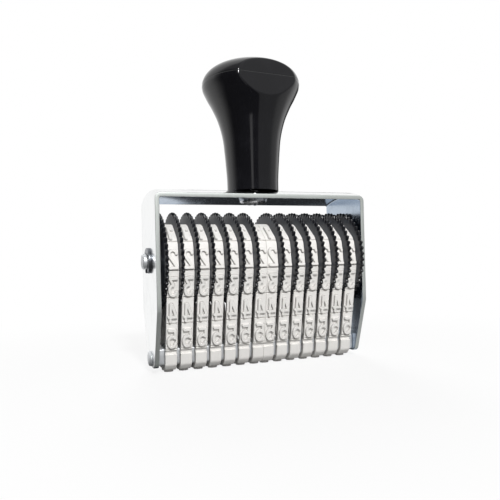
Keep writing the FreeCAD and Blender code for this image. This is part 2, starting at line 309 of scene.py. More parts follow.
class Paint:
    """The nodes of one material or world."""

    def __init__(self, owner):
        self.owner = owner
        owner.use_nodes = True
        self.tree = owner.node_tree
        self.tree.nodes.clear()

    @classmethod
    def of_material(cls, name):
        """Nodes of a new material."""
        return cls(bpy.data.materials.new(name))

    def node(self, kind, settings=None, inputs=None, output=0):
        """Adds a node, then its settings, then the values or links of its sockets."""
        made = self.tree.nodes.new(kind)
        for key, value in (settings or {}).items():
            setattr(made, key, value)
        for key, value in (inputs or {}).items():
            if isinstance(value, Link):
                self.tree.links.new(value.socket, made.inputs[key])
            else:
                made.inputs[key].default_value = value
        return Link(self, made.outputs[output]) if made.outputs else None

    def place(self):
        """Place on the piece, in metres."""
        return self.node("ShaderNodeTexCoord", output="Object")

    def split(self, vector):
        """The three parts of a vector."""
        parts = self.node("ShaderNodeSeparateXYZ", inputs={0: vector}).socket.node
        return [Link(self, socket) for socket in parts.outputs]

    def rays(self):
        """1 for what the camera sees itself, and 1 for what it sees mirrored or through something."""
        path = self.node("ShaderNodeLightPath").socket.node
        kinds = ("Camera", "Glossy", "Transmission")
        camera, glossy, through = (Link(self, path.outputs[f"Is {kind} Ray"]) for kind in kinds)
        return camera, glossy.math("MAXIMUM", through)

    def stretched(self, scales):
        """Place with each axis multiplied by its own scale."""
        return self.node("ShaderNodeMapping", inputs={"Vector": self.place(), "Scale": scales})

    def noise(self, grain, detail=3.0, roughness=0.5, vector=None):
        """Soft noise with a grain of that many metres, or of one unit of a stretched place."""
        inputs = {"Vector": vector or self.place(), "Scale": 1 / grain, "Detail": detail, "Roughness": roughness}
        return self.node("ShaderNodeTexNoise", inputs=inputs)

    def mix(self, share, first, second):
        """The first colour at share 0, the second at share 1."""
        inputs = {"Factor": share, 6: rgba(first), 7: rgba(second)}
        return self.node("ShaderNodeMix", {"data_type": "RGBA"}, inputs, output=2)

    def bump(self, height, depth, strength=1.0):
        """Normal of a fine relief of that depth in metres."""
        return self.node("ShaderNodeBump", inputs={"Strength": strength, "Distance": depth, "Height": height})

    def finish(self, colour, roughness, normal, others):
        """Ends the material in a Principled shader with these sockets and others."""
        inputs = {"Base Color": colour, "Roughness": roughness, "Normal": normal, **others}
        shader = self.node("ShaderNodeBsdfPrincipled", inputs=inputs)
        self.node("ShaderNodeOutputMaterial", inputs={"Surface": shader})
        return self.owner


def rgba(value):
    """A colour with its fourth part, or the link as it is."""
    return value if isinstance(value, Link) else (*tuple(value)[:3], 1.0)


def shade_of(base, factor):
    """The colour made lighter or darker by a factor."""
    return tuple(min(1.0, part * factor) for part in base)


def knob_plastic(settings):
    """Polished black moulding: nearly mirror-smooth, faint handling marks, a paler rubbed mould line."""
    paint = Paint.of_material("knob_black_moulding")
    height = paint.split(paint.place())[2]
    rubbed = 1 - abs(height - MOULD_LINE_Z).between(0.03 * MM, 0.16 * MM)
    smears = paint.noise(6 * MM, 4.0, 0.6).between(0.45, 0.75)
    specks = paint.noise(0.35 * MM, 2.0, 0.5).between(0.62, 0.75)
    body = paint.mix(smears * 0.5, settings.body_colour, shade_of(settings.body_colour, 1.7))
    roughness = 0.085 + smears * 0.07 + specks * 0.05 + rubbed * 0.16
    waves = paint.bump(paint.noise(9 * MM, 1.0), 0.05 * MM, 0.25)
    tint = paint.mix(rubbed * 0.7, body, (0.020, 0.021, 0.021))
    return paint.finish(tint, roughness, waves, {"IOR": 1.49, "Specular IOR Level": 0.5})


def bright_plate(settings):
    """Bright plate on rolled sheet: mirror-like outside with fine rolling lines and hazy patches, duller inside the
    yoke with painted shade, bluish, in its colour, and satin on the sheared edges."""
    paint = Paint.of_material("yoke_nickel_plate")
    across = paint.split(paint.place())[0]
    facing = paint.split(paint.node("ShaderNodeTexCoord", output="Normal"))
    inner_cheeks = abs(facing[0]).between(0.6, 0.9) * (facing[0] * across).between(0.0, -0.001)
    # Inside and downward faces: rougher plate, with painted shade, bluish, in the colour
    inside = facing[2].between(-0.3, -0.6) + inner_cheeks
    sheared = abs(facing[1]).between(0.5, 0.8)
    lines = paint.noise(1.0, 2.0, 0.5, paint.stretched((160, 5200, 160)))
    shear_lines = paint.noise(1.0, 2.0, 0.6, paint.stretched((9000, 160, 160)))
    haze = paint.noise(7 * MM, 4.0, 0.6).between(0.42, 0.72)
    specks = paint.noise(0.25 * MM, 2.0).between(0.66, 0.74)
    dull_and_shaded = paint.mix(haze, settings.inside_shade_colour, shade_of(settings.inside_shade_colour, 0.85))
    satin = paint.mix(shear_lines, settings.edge_colour, shade_of(settings.edge_colour, 0.82))
    tint = paint.mix(haze * 0.6, settings.plate_colour, shade_of(settings.plate_colour, 0.93))
    tint = paint.mix(sheared, paint.mix(inside, tint, dull_and_shaded), satin)
    tint = paint.mix(specks * 0.4, tint, (0.60, 0.61, 0.61))
    roughness = 0.09 + haze * 0.08 + lines * 0.05 + specks * 0.12 + inside * 0.08 + sheared * 0.36
    waves = paint.bump(lines + paint.noise(14 * MM, 1.0) * 4, 0.012 * MM, 0.35)
    return paint.finish(tint, roughness, waves, {"Metallic": 1 - sheared * 0.35})


def turned_steel(name, base, grain, roughness, metallic):
    """Machined steel: fine tool marks round the work, slightly uneven in tone."""
    paint = Paint.of_material(name)
    marks = paint.noise(1.0, 2.0, 0.6, paint.stretched(grain))
    stains = paint.noise(2.5 * MM, 3.0).between(0.45, 0.8)
    tint = paint.mix(stains, base, shade_of(base, 0.72))
    roughness = roughness + marks * 0.14 + stains * 0.1
    return paint.finish(tint, roughness, paint.bump(marks, 0.006 * MM, 0.5), {"Metallic": metallic})


def wheel_plastic(settings):
    """Charcoal moulding: glossy dark teeth, faces paler from dust and a painted bluish sheen, drag marks round the axle
    and fine grain.
    """
    paint = Paint.of_material("wheel_charcoal_moulding")
    _, depth, height = paint.split(paint.place())
    radius = (depth**2 + (height - AXLE_Z) ** 2) ** 0.5
    root = WHEEL_HIGH.y - settings.tooth_depth
    teeth = radius.between(root - 0.35 * MM, root + 0.05 * MM)
    dust = paint.noise(1.6 * MM, 4.0, 0.65).between(0.40, 0.75)
    grain = paint.noise(0.12 * MM, 2.0)
    rings = paint.noise(1.0, 1.0, 0.5, paint.node("ShaderNodeCombineXYZ", inputs={0: radius * 9000}))
    # the faces' colour carries a painted bluish sheen; dust lightens it further
    face = paint.mix(dust, settings.face_colour_and_sheen, shade_of(settings.face_colour_and_sheen, 1.9))
    face = paint.mix(rings * 0.5, face, shade_of(settings.face_colour_and_sheen, 0.6))
    tooth = paint.mix(dust * 0.5, settings.wheel_colour, shade_of(settings.wheel_colour, 2.2))
    roughness = 0.38 + grain * 0.12 + dust * 0.12 - teeth * 0.16
    marks = paint.bump(grain + rings * 0.5, 0.010 * MM, 0.5)
    return paint.finish(paint.mix(teeth, face, tooth), roughness, marks, {"IOR": 1.5})


def band_rubber(settings):
    """Off-white moulded rubber: chalky bloom, faint grey handling marks, painted grey shade round the foot of each
    digit and on the band's sides and inside, and a fine mould grain."""
    paint = Paint.of_material("band_white_rubber")
    bloom = paint.noise(1.8 * MM, 4.0, 0.6).between(0.4, 0.75)
    marks = paint.noise(0.7 * MM, 3.0, 0.65).between(0.58, 0.78)
    grain = paint.noise(0.10 * MM, 2.0)
    chalk = paint.mix(bloom * 0.5, settings.rubber_colour, shade_of(settings.rubber_colour, 1.05))
    # Painted shade: the grey colour at each digit's foot and on the band's sides and inside stands in for shadow
    painted_shade = paint.node("ShaderNodeAttribute", {"attribute_name": "painted_shade"}, output="Fac")
    worn = paint.mix(marks * 0.35, chalk, (0.60, 0.585, 0.565))
    tint = paint.mix(painted_shade * 0.70, worn, (0.26, 0.25, 0.24))
    roughness = 0.50 + bloom * 0.12 + grain * 0.06
    return paint.finish(tint, roughness, paint.bump(grain, 0.012 * MM, 0.5), {"IOR": 1.5, "Specular IOR Level": 0.4})


# Knob

# Share of the knob's height and share of the rim's radius, from the neck's foot to the middle of the dome
KNOB_STATIONS = (
    (0.0, 0.523),
    (0.12, 0.527),
    (0.265, 0.547),
    (0.374, 0.566),
    (0.483, 0.589),
    (0.592, 0.636),
    (0.700, 0.708),
    (0.809, 0.814),
    (0.868, 0.884),
    (0.918, 0.937),
    (0.964, 0.982),
    (1.0, 1.0),
)
DOME_FULLNESS = 2.3
# Half the width of the mould line, and the height over which the neck's foot stays round
MOULD_LINE_HALF, NECK_FOOT = 0.07 * MM, 9 * MM
# The front flat's rows: how far below the rim they start and below the top they end, and the step between them
FLAT_BELOW, FLAT_CLEAR, FLAT_STEP = 7 * MM, 1.2 * MM, 0.12 * MM


def knob_surface(settings):
    """Rings turned about Z: a smooth flare up to the rim, then a dome of radius R (1 - t^n)^(1/n) at share t of its
    height. Points beyond the front flat slide back onto it, and the mould line is a fine groove at one height."""
    flare = smooth_profile(KNOB_STATIONS, 14)
    rise = np.radians(np.linspace(0, 90, 70))[1:]
    dome_radius = np.abs(np.cos(rise)) ** (2 / DOME_FULLNESS) * RIM_RADIUS
    dome_height = RIM_Z + np.sin(rise) ** (2 / DOME_FULLNESS) * (KNOB_HIGH.z - RIM_Z)
    heights = np.append(KNOB_LOW.z + flare[:, 0] * (RIM_Z - KNOB_LOW.z), dome_height)
    radii = np.append(flare[:, 1] * RIM_RADIUS, dome_radius)
    fine = np.concatenate([heights, MOULD_LINE_Z + np.linspace(-4, 4, 15) * MOULD_LINE_HALF])
    fine = np.append(fine, np.arange(RIM_Z - FLAT_BELOW, KNOB_HIGH.z - FLAT_CLEAR, FLAT_STEP))
    order = np.unique(np.round(fine, 6))
    radii = np.interp(order, heights, radii)
    radii[-1] = 0
    angle = np.radians(np.concatenate([np.arange(-52, 62, 0.75), np.arange(62, 308, 3.0)]))[:, None]
    around = np.stack([np.sin(angle), -np.cos(angle), 0 * angle], axis=-1)[:, 0]
    points = radii[:, None, None] * around + np.array([0, 0, 1]) * order[:, None, None]
    lean, turn = settings.flat_lean, settings.flat_turn
    ahead = np.array([math.sin(turn), -math.cos(turn), 0])
    reach = (settings.flat_distance - (points[..., 2] - RIM_Z) * math.sin(lean)) / math.cos(lean)
    beyond = points @ ahead - reach
    beyond = (beyond + np.sqrt(beyond**2 + settings.flat_rounding**2)) / 2
    points = points - beyond[..., None] * ahead * ease((order - KNOB_LOW.z) / NECK_FOOT)[:, None, None]
    groove = settings.mould_line_depth * np.exp(-(((order - MOULD_LINE_Z) / MOULD_LINE_HALF) ** 2))
    points = points - groove[:, None, None] * around
    foot = points[:1].mean(axis=1, keepdims=True)
    return np.concatenate([np.repeat(foot, len(angle), axis=1), points])


# Yoke


def yoke_surface(settings):
    """Rounded section of the sheet carried up one cheek, over the arch and down the other. At depth y the
    arch's top lies at crest - (R - sqrt(R^2 - y^2)), and both bends are quarter circles under it."""
    half_depth, thick, edge = YOKE_HIGH.y, settings.sheet / 2, settings.edge_radius
    radius = (half_depth**2 + settings.arch_rise**2) / (2 * settings.arch_rise)
    mid_radius, mid_x = settings.bend_radius - thick, YOKE_HIGH.x - thick
    # section: places across the depth and through the sheet, with rounded edges; its second half is the opposite
    flat = np.linspace(-1, 1, 33)
    corner = np.radians(np.linspace(90, 0, 5))
    out, rise = edge * np.cos(corner), thick - edge + edge * np.sin(corner)
    share = np.append(flat, np.ones(10))
    push = np.concatenate([0 * flat, out, out[::-1]])
    lift = np.concatenate([0 * flat + thick, rise, -rise[::-1]])
    share, push, lift = (np.append(half, -half) for half in (share, push, lift))
    # path: up the left cheek, round the bend, over the top; the other half mirrors it
    row_gap, under_bend = 1.0 * MM, 6 * MM
    low = np.concatenate([1 - np.cos(np.linspace(0, math.pi / 2, 12)), [1.3, 1.9, 2.6]]) * settings.foot_corner
    taper = np.linspace(low[-1] + row_gap, settings.taper_height - row_gap / 2, 8)
    straight = np.linspace(settings.taper_height, YOKE_HIGH.z - YOKE_LOW.z - under_bend, 14)
    up = np.concatenate([low, taper, straight])
    foot_half = settings.foot_depth / 2
    widths = np.minimum(foot_half + (half_depth - foot_half) / settings.taper_height * up, half_depth)
    inset = np.maximum(settings.foot_corner - up, 0)
    widths -= settings.foot_corner - np.sqrt(settings.foot_corner**2 - inset**2)
    bends = np.radians(np.linspace(0, 90, 11))
    across = np.linspace(0, 1, 12)[1:]
    widths = np.append(widths, np.full(len(bends) + len(across), half_depth))
    inward = np.concatenate([0 * up, mid_radius * (1 - np.cos(bends)), mid_radius + (mid_x - mid_radius) * across])
    angle = np.concatenate([0 * up, bends, np.full(len(across), math.pi / 2)])[:, None]
    depth = share * (widths[:, None] - edge) + push
    height = YOKE_HIGH.z - thick - (radius - np.sqrt(radius**2 - depth**2)) - mid_radius * (1 - np.sin(angle))
    height[: len(up)] = YOKE_LOW.z + up[:, None]
    x = inward[:, None] - mid_x - lift * np.cos(angle)
    left = np.stack([x, depth, height + lift * np.sin(angle)], axis=-1)
    return np.concatenate([left, left[-2::-1] * MIRROR])


# Bands and their digits


def stroke_arc(middle_x, middle_y, across, up, start, end, steps=14):
    """Part of an ellipse, in shares of half a digit's width and height, from one angle in degrees to another."""
    angle = np.radians(np.linspace(start, end, steps))
    return np.stack([middle_x + across * np.cos(angle), middle_y + up * np.sin(angle)], axis=-1)


def digit_strokes(digit):
    """Middle lines of a plain condensed digit, in shares of half its width and half its height."""
    line = np.array
    bowl = stroke_arc(0, -0.40, 1.0, 0.60, 0, 360, 28)
    hook = stroke_arc(0, 0.55, 1.0, 0.45, 180, 15)
    six = [bowl, np.concatenate([[(-1.0, -0.40)], hook])]
    ends = stroke_arc(0, 0.5, 1, 0.5, 0, 180), stroke_arc(0, -0.5, 1, 0.5, 180, 360)
    three = [(-0.9, 1.0), (0.95, 1.0), (0.0, 0.20)], stroke_arc(0, -0.40, 1.0, 0.60, 85, -160)
    five = [(0.85, 1.0), (-0.75, 1.0), (-0.85, 0.05)], stroke_arc(0, -0.38, 1.0, 0.62, 125, -155)
    strokes = {
        0: [np.concatenate([*ends, [(1, 0.5)]])],
        1: [line([(-0.55, 0.62), (0.25, 1.0), (0.25, -1.0)])],
        2: [np.concatenate([stroke_arc(0, 0.52, 1.0, 0.48, 170, -35), [(-1.0, -1.0), (1.0, -1.0)]])],
        3: [np.concatenate(three)],
        4: [line([(1.0, -0.50), (-1.0, -0.50), (0.30, 1.0)]), line([(0.58, 1.0), (0.58, -1.0)])],
        5: [np.concatenate(five)],
        6: six,
        7: [line([(-1.0, 1.0), (1.0, 1.0), (0.25, -0.1), (-0.2, -1.0)])],
        8: [stroke_arc(0, 0.54, 0.88, 0.46, 0, 360, 28), stroke_arc(0, -0.46, 1.0, 0.54, 0, 360, 28)],
        9: [-stroke for stroke in six],
    }
    return strokes[digit]


def distance_to_strokes(places, lines):
    """Distance of each place to the nearest stroke: to the foot of the perpendicular held inside each piece."""
    nearest = np.full(places.shape[:-1], np.inf)
    for line in lines:
        start, run = line[:-1], np.diff(line, axis=0)
        offset = places[..., None, :] - start
        share = np.clip((offset * run).sum(-1) / np.maximum((run**2).sum(-1), 1e-12), 0, 1)
        gap = np.linalg.norm(offset - share[..., None] * run, axis=-1)
        nearest = np.minimum(nearest, gap.min(axis=-1))
    return nearest


def edge_normals(loop):
    """Unit normals of a loop that runs with its inside on the left: each edge (a, b) has (b, -a)."""
    runs = np.roll(loop, -1, axis=0) - loop
    return np.stack([runs[:, 1], -runs[:, 0]], axis=-1) / np.linalg.norm(runs, axis=1)[:, None]


def tight_loop(points):
    """Corners of the tightest loop round the points: those that reach furthest in some direction."""
    angle = np.linspace(0, TURN, 1440, endpoint=False)
    reach = np.argmax(np.round(points @ np.stack([-np.cos(angle), -np.sin(angle)]), 9), axis=0)
    return points[reach[reach != np.roll(reach, 1)]]


# How far in millimetres each band's slack back run wanders sideways in its lower and its upper part, and the
# heights between which it does
LOW_SWAY = (0.10, -0.12, 0.15, 0.35, 0.60, 0.05, -0.60, 0.10, 0.25, -0.10, 0.12, 0.20, -0.15, 0.10)
HIGH_SWAY = (0.40, 0.50, 0.65, 0.80, 0.90, 0.70, 0.0, 0.10, 0.15, -0.10, 0.12, 0.10, -0.15, 0.10)
SWAY_LOW, SWAY_MIDDLE, SWAY_HIGH, SWAY_BEND = 4.5 * MM, 9.2 * MM, 17.4 * MM, 2.6 * MM


class BandPath:
    """The band's inner line round drum and bar, in depth and height, down the front and up the back. Every
    corner, wide on the drum and tight on the bar, is an arc about the meeting point of its two edges moved
    inwards by the arc's radius."""

    drum_corner = 3.0 * MM
    bar_corner = 0.45 * MM
    arc_steps = 15

    def __init__(self, wheels, bands):
        corner_radius = wheels.drum_flat / math.cos(math.pi / 8)
        turns = wheels.drum_tilt + (np.arange(8) + 0.5) * TURN / 8
        drum = np.stack([-corner_radius * np.cos(turns), AXLE_Z + corner_radius * np.sin(turns)], axis=-1)
        half, low, chamfer = BAR_HIGH.y, BAR_BOTTOM, BAR_CHAMFER
        bar = np.array([(-half, low + chamfer), (chamfer - half, low), (half - chamfer, low), (half, low + chamfer)])
        loop = tight_loop(np.concatenate([drum, bar]))
        # it starts at the corner that lies furthest up and a little towards the back
        loop = np.roll(loop, -np.argmax(loop[:, 1] + 0.2 * loop[:, 0]), axis=0)
        ahead = edge_normals(loop)
        behind = np.roll(ahead, 1, axis=0)
        mitre = (ahead + behind) / (1 + (ahead * behind).sum(axis=1))[:, None]
        self.on_drum = np.linalg.norm(loop - (0, AXLE_Z), axis=1) < 1.1 * corner_radius
        self.corners = np.where(self.on_drum, self.drum_corner, self.bar_corner)
        centres = loop + mitre * (bands.seat - self.corners)[:, None]
        start = np.unwrap(np.arctan2(behind[:, 1], behind[:, 0]))
        self.turns = np.append(start[1:], start[0] + TURN) - start
        angles = start[:, None] + self.turns[:, None] * np.linspace(0, 1, self.arc_steps)
        places = centres[:, None] + self.corners[:, None, None] * np.stack([np.cos(angles), np.sin(angles)], axis=-1)
        self.places = np.concatenate([places.reshape(-1, 2), places[0, :1]])
        self.angles = np.append(angles.ravel(), angles[0, 0] + TURN)
        steps = np.linalg.norm(np.diff(self.places, axis=0), axis=1)
        self.travel = np.append(0, np.cumsum(steps))
        arcs = self.travel[:-1].reshape(-1, self.arc_steps)
        self.arc_starts, self.arc_ends = arcs[:, 0], arcs[:, -1]

    def at(self, travel):
        """Place and outward direction at each distance along the loop."""
        angle = np.interp(travel, self.travel, self.angles)
        place = [np.interp(travel, self.travel, self.places[:, axis]) for axis in (0, 1)]
        return np.stack(place, axis=-1), np.stack([np.cos(angle), np.sin(angle)], axis=-1)

    def where(self, height, start, end):
        """Where the run between two places passes one height."""
        travel = np.linspace(start, end, 400)
        return travel[np.argmin(abs(self.at(travel)[0][:, 1] - height))]

    def corner_travel(self, index, side):
        """Where the sharp corner would lie, measured along the edge after it (side 1) or before it (side -1)."""
        trimmed = self.corners[index] * math.tan(self.turns[index] / 2)
        return self.arc_ends[index] - trimmed if side > 0 else self.arc_starts[index] + trimmed


class PadPlan:
    """Pads of one band as (start, end, digit) along its path. Every drum flat has a pad and both runs have whole pads
    from the drum on. The heel round the bar is one block with its digit underneath, set off by two bare strips."""

    sequence = (None, 1, 2, 3, 4, 5, 6, 7, 8, 9, 0, None)

    def __init__(self, path, wheels):
        pitch = 2 * wheels.drum_flat * math.tan(math.pi / 8)
        last = len(path.turns)
        middles = (path.arc_starts + path.arc_ends) / 2
        spans, self.strips = [], []
        for index in range(last):
            after = (index + 1) % last
            closing = path.travel[-1] if not after else 0
            start, end = path.arc_ends[index], path.arc_starts[after] + closing
            if path.on_drum[index] and path.on_drum[after]:
                spans.append((middles[index], middles[after] + closing))
            elif path.on_drum[index] or path.on_drum[after]:
                corner, side = (index, 1) if path.on_drum[index] else (after, -1)
                top = path.corner_travel(corner, side)
                ends = [middles[corner]] + [top + side * step * pitch for step in range(1, 4)]
                spans += list(zip(ends[::side], ends[::side][1:]))
                self.strips.append([path.where(height, start, end) for height in (RECESS_Z, HEEL_Z)[::side]])
            elif abs(path.at(np.array([(start + end) / 2]))[0][0, 0]) < 0.1 * MM:
                spans.append(((start + end) / 2, (start + end) / 2))
        self.pads = [(start, end, digit) for (start, end), digit in zip(spans, self.sequence)]
        ends = np.array([place for span in spans if span[1] > span[0] for place in span])
        self.notches = np.unique(np.round(ends % path.travel[-1], 7))


def band_columns(bands):
    """Columns round a band: across the face, down one side, back along the inside and up the other side. Each has its
    place across, its share of the way through the band and its drop under the face, r (1 - sin t) on rounded edges."""
    half, edge, inside = BAND_WIDTH / 2, bands.edge_radius, BAND_WIDTH / 2 - 0.05 * MM
    plain = half - 0.22 * MM
    bend = np.radians([0, 30, 60, 90])
    bevel, drop = edge * (1 - np.cos(bend)), edge * (1 - np.sin(bend))
    middle = np.linspace(-plain, plain, round(2 * plain / bands.fineness))
    face = np.concatenate([bevel - half, middle, half - bevel[::-1]])
    across = np.concatenate([face, [half, half, inside, 0, -inside, -half, -half]])
    through = np.concatenate([np.ones(len(face)), [0.6, 0.2, 0, 0, 0, 0.2, 0.6]])
    rounding = np.concatenate([drop, 0 * middle, drop[::-1], [edge, edge, 0, 0, 0, edge, edge]])
    return across, through, rounding


def band_surface(wheels, bands):
    """Closed tube of rubber, carried along the path. A point that is a share t of the way through the band
    stands out from the path by t (level + relief x digit mask - edge rounding), where the level is the pads' height
    less V-shaped notches and bare strips. The painted shade that comes with it is 1 at the foot of a digit, falls
    to 0 over its width, and is 0.9 on the sides and the inside, where shade falls between the band and the wheels."""
    path = BandPath(wheels, bands)
    plan = PadPlan(path, wheels)
    whole = path.travel[-1]
    pad_level = bands.belt + bands.pad
    # distance along the pads' tops, by which digits are placed: feet near the end of their pad
    sample = np.linspace(0, whole, 6000)
    place, outward = path.at(sample)
    tops = place + pad_level * outward
    along = np.append(0, np.cumsum(np.linalg.norm(np.diff(tops, axis=0), axis=1)))
    reach = bands.digit_height / 2
    digits = []
    for start, end, digit in plan.pads:
        if digit is not None:
            foot = np.interp(end, sample, along)
            middle = foot - bands.digit_margin - reach if end > start else foot
            digits.append((middle, digit))
    # rows: fine where there are digits, notches or corners
    fine = bands.fineness
    rows = [path.travel[:-1], np.arange(0, whole, 0.4 * MM)]
    for middle, _ in digits:
        zone = np.arange(middle - reach - fine, middle + reach + fine, fine)
        rows.append(np.interp(zone, along, sample))
    notch_shape = np.array([-1, -0.75, -0.4, -0.15, 0, 0.15, 0.4, 0.75, 1]) * bands.notch / 2
    notch_along = np.interp(plan.notches, sample, along)
    rows += [np.interp(centre + notch_shape, along, sample) for centre in notch_along]
    step, ramp, strip_shape = 0.004 * MM, 0.06 * MM, np.linspace(-0.08, 0.08, 5) * MM
    rows += [edge + strip_shape for strip in plan.strips for edge in strip]
    travel = np.unique(np.round(np.concatenate(rows) % whole / step)) * step
    row_along = np.interp(travel, sample, along)
    across, through, rounding = band_columns(bands)
    # pads, notches and strips
    open_share = np.zeros(len(travel))
    for centre in notch_along:
        gap = abs((row_along - centre + along[-1] / 2) % along[-1] - along[-1] / 2)
        open_share = np.maximum(open_share, np.clip(1 - gap * 2 / bands.notch, 0, 1))
    for start, end in plan.strips:
        bare = ease((travel - start) / ramp + 0.5) * ease((end - travel) / ramp + 0.5)
        open_share = np.maximum(open_share, bare)
    level = pad_level - bands.pad * open_share
    # digits in mirror writing
    relief = np.zeros((len(travel), len(across)))
    # painted shade: 0.9 on the band's sides and inside, where shade falls between the bands and the wheels
    painted_shades = np.broadcast_to(0.9 * (through < 0.9), relief.shape).copy()
    half_size = np.array([bands.digit_width - bands.stroke, bands.digit_height - bands.stroke]) / 2
    for middle, digit in digits:
        near = abs(row_along - middle) < reach + fine
        sheet = np.stack(np.broadcast_arrays(-across[None, :], middle - row_along[near, None]), axis=-1)
        gap = distance_to_strokes(sheet, [line * half_size for line in digit_strokes(digit)])
        outside = gap - bands.stroke / 2
        relief[near] = ease(0.5 - outside / fine) * (through == 1)
        # painted shade: 1 at each digit's foot, fading out over its width
        foot = (1 - ease(outside / bands.painted_shade)) * ease(0.5 + outside / fine) * (through == 1)
        painted_shades[near] = np.maximum(painted_shades[near], foot)
    height = through * (level[:, None] + bands.relief * relief - rounding)
    place, outward = path.at(travel)
    x = np.broadcast_to(across, height.shape)
    points = np.concatenate([x[..., None], place[:, None] + height[..., None] * outward[:, None]], axis=-1)
    return points, painted_shades


# Wheels


def disc_surface(settings):
    """Thumb disc: rings from bore to rim on both faces. At t through a tooth the rim stands out by
    depth x ((1 - cos 2 pi t) / 2)^0.7; the rim's edges are rounded too, which makes each tooth a bead."""
    samples, edge, plain = 10, 0.36 * MM, 0.7 * MM
    phase = np.arange(settings.teeth * samples)
    swell = ((1 - np.cos(TURN * (phase % samples) / samples)) / 2) ** 0.7
    root = WHEEL_HIGH.y - settings.tooth_depth
    rim = WHEEL_HIGH.y - settings.tooth_depth * (1 - swell)
    bend = np.radians(np.linspace(90, -90, 9))[:, None]
    flat = np.array([WHEEL_BORE, root - plain])[:, None] + 0 * rim
    radii = np.concatenate([flat, rim + edge * (np.cos(bend) - 1), flat[::-1]])
    places = np.concatenate([[0, 0], 0.5 - 0.5 * np.sin(bend[:, 0]), [1, 1]]) * settings.disc
    return turned_x(radii, places, AXLE_Z)


def drum_surface(settings, end):
    """Eight-sided drum with rounded corners: its radius is flat / cos(turn from the flat), held under a circle
    that keeps its corners inside the band's round ones."""
    sides, near, chamfer, corner_share = 128, settings.disc, 0.15 * MM, 1.036
    angle = np.arange(sides) * TURN / sides
    from_flat = (angle - settings.drum_tilt + math.pi / 8) % (math.pi / 4) - math.pi / 8
    radius = np.minimum(settings.drum_flat / np.cos(from_flat), corner_share * settings.drum_flat)
    bore = np.full(sides, WHEEL_BORE)
    return turned_x([bore, radius, radius, radius - chamfer, bore], [near, near, end - chamfer, end, end], AXLE_Z)


# Bar, axle, clips, screw and washer


def print_bar_surfaces():
    """Bright bar with rounded edges between the cheeks, and a flat peened head outside each cheek: at turn t its
    radius is R cos^0.3 t and its height grows with sin t."""
    end_x, bevel, taper = YOKE_HIGH.x - 1.15 * MM, 0.12 * MM, 0.96
    half, low, high = BAR_HIGH.y, BAR_BOTTOM, BAR_HIGH.z
    lower, upper = BAR_CHAMFER, 0.25 * MM
    corners = [
        rounded_corner(-half + lower, low + lower, lower, 180, 270, 7),
        rounded_corner(half - lower, low + lower, lower, 270, 360, 7),
        rounded_corner(half - upper, high - upper, upper, 0, 90, 4),
        rounded_corner(-half + upper, high - upper, upper, 90, 180, 4),
    ]
    section = np.concatenate(corners)
    places = np.array([-end_x, bevel - end_x, *np.linspace(-0.9, 0.9, 9) * end_x, end_x - bevel, end_x])
    middle = section.mean(axis=0)
    shrink = np.where(abs(places) > end_x - bevel / 2, taper, 1.0)
    ring = middle + (section - middle) * shrink[:, None, None]
    bar = np.concatenate([np.broadcast_to(places[:, None, None], (*ring.shape[:2], 1)), ring], axis=-1)
    swell = np.radians(np.linspace(0, 90, 12))
    rise = BAR_HIGH.x - YOKE_HIGH.x
    radii = np.concatenate([[0, 0.94 * RIVET_RADIUS], RIVET_RADIUS * np.cos(swell) ** 0.30])
    places = YOKE_HIGH.x + np.concatenate([[0, 0], rise * (0.12 + 0.55 * np.sin(swell))])
    head = turned_x(radii, places, BAR_LOW.z + RIVET_RADIUS)
    return [capped(bar), head, head * MIRROR]


def axle_surface():
    """Turned rod with chamfered ends and a groove outside each cheek."""
    end, radius, face = AXLE_HIGH.x, AXLE_HIGH.y, YOKE_HIGH.x
    groove, wide, chamfer, edge = 1.45 * MM, 0.65 * MM, 0.28 * MM, 0.1 * MM
    stations = [(0, radius), (face, radius), (face, groove), (face + wide, groove)]
    stations += [(face + wide, radius - edge), (face + wide + edge, radius), (end - chamfer, radius)]
    stations += [(end, radius - chamfer), (end, radius / 2), (end - edge / 2, 0)]
    half = np.array(stations)
    whole = np.concatenate([half[::-1] * MIRROR[:2], half[1:]])
    return turned_x(whole[:, 1], whole[:, 0], AXLE_Z)


def clip_surface():
    """Open spring clip: a flat ring with three inward lugs on the groove and its mouth at the bottom. Its
    inside radius is open - (open - groove) x the sum of the lugs' smooth steps."""
    mouth, opened, groove = 28, 2.45 * MM, 1.5 * MM
    angle = np.radians(np.linspace(mouth - 180, 180 - mouth, 73))
    lugs = sum(1 - ease((abs(angle - math.radians(at)) / math.radians(26) - 0.45) / 0.55) for at in (-130, 0, 130))
    inside = opened - (opened - groove) * lugs
    outside = CLIP_HIGH.y - 0.25 * MM * (1 - ease((math.pi - abs(angle)) / math.radians(60)))
    edge, low, high = 0.08 * MM, CLIP_LOW.x, CLIP_HIGH.x
    section = [(0, edge, low), (0, 0, low + edge), (0, 0, high - edge), (0, edge, high)]
    section += [(1, -edge, high), (1, 0, high - edge), (1, 0, low + edge), (1, -edge, low)]
    rings = [(outside if outer else inside) + shift for outer, shift, _ in section]
    radius = np.stack(rings, axis=-1)
    x = np.broadcast_to([place for _, _, place in section], radius.shape)
    turn = angle[:, None]
    return capped(np.stack([x, radius * np.sin(turn), AXLE_Z + radius * np.cos(turn)], axis=-1))


